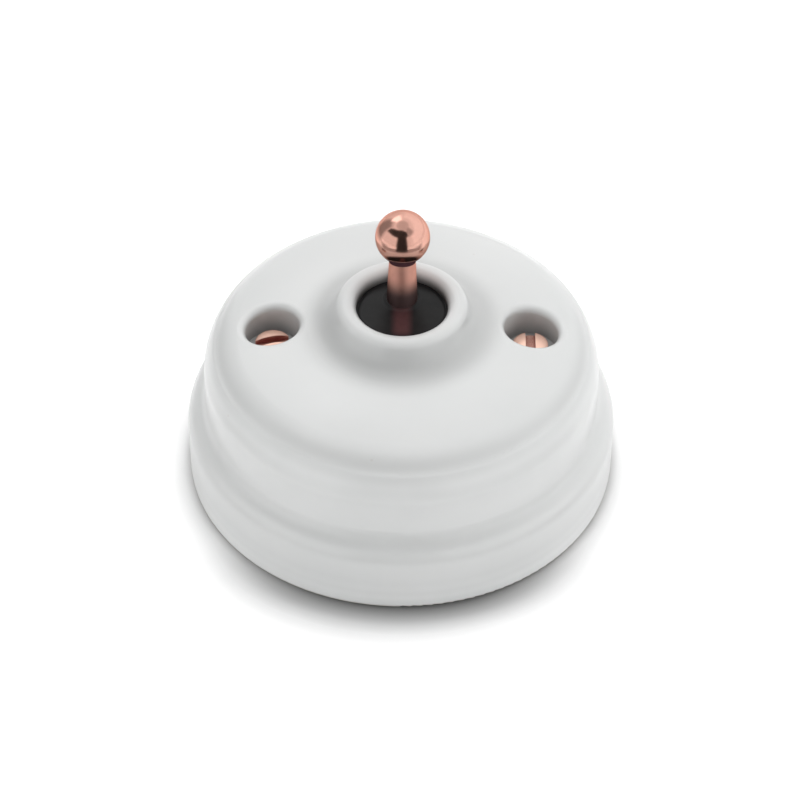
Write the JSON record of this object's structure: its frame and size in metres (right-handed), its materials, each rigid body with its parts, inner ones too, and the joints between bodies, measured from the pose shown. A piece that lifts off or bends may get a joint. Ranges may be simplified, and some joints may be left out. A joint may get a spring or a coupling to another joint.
{
  "type": "porcelain toggle switch",
  "caption": "Round surface-mounted light switch with a stepped glazed porcelain cover and a ball-ended copper toggle lever in a raised collar.",
  "frame": {"origin": "centre of the back face, on the wall", "axes": "+Z away from the wall, X through the two cover screws, the lever swings in the YZ plane"},
  "size_m": [0.08, 0.08, 0.0541],
  "materials": {
    "glazed_porcelain": "gloss",
    "copper_plate": "polished",
    "black_phenolic": "gloss",
    "yellow_brass": "satin",
    "spring_bronze": "satin",
    "zinc_plated_steel": "satin",
    "contact_silver": "satin",
    "white_nylon": "satin"
  },
  "bodies": {
    "body": {"cover": "glazed_porcelain", "base": "glazed_porcelain", "cover_screws": "copper_plate", "cover_pillars": "yellow_brass", "switch_housing": "black_phenolic", "housing_lid": "black_phenolic", "lid_screws": "zinc_plated_steel", "housing_screws": "zinc_plated_steel", "housing_nuts": "zinc_plated_steel", "pivot_pin": "zinc_plated_steel", "strip_back": "spring_bronze", "strip_front": "spring_bronze", "strip_common": "yellow_brass", "fixed_contacts": "contact_silver", "terminal_back": "yellow_brass", "terminal_front": "yellow_brass", "terminal_common": "yellow_brass", "terminal_screws": "zinc_plated_steel"},
    "lever": {"lever": "copper_plate", "lever_shield": "black_phenolic", "plunger_spring": "zinc_plated_steel"},
    "plunger": {"plunger": "white_nylon"},
    "rocker": {"rocker": "yellow_brass", "rocker_contacts": "contact_silver"}
  },
  "joints": [
    {"name": "lever_toggle", "type": "hinge", "parent": "body", "child": "lever", "pos_m": [0, 0, 0.026], "axis": [1, 0, 0], "range_deg": [0, 28]},
    {"name": "plunger_slide", "type": "slide", "parent": "lever", "child": "plunger", "axis": [0, 0.2419, 0.9703], "range_m": [0, 0.0008], "stiffness_N_per_m": 60, "springref_m": -0.001, "deforming": ["plunger_spring"]},
    {"name": "rocker_tilt", "type": "hinge", "parent": "body", "child": "rocker", "pos_m": [0, 0, 0.0126], "axis": [1, 0, 0], "range_deg": [-20, 0]}
  ],
  "couplings": [
    {"joint": "rocker_tilt", "follows": "lever_toggle", "ratio": -0.71429}
  ]
}
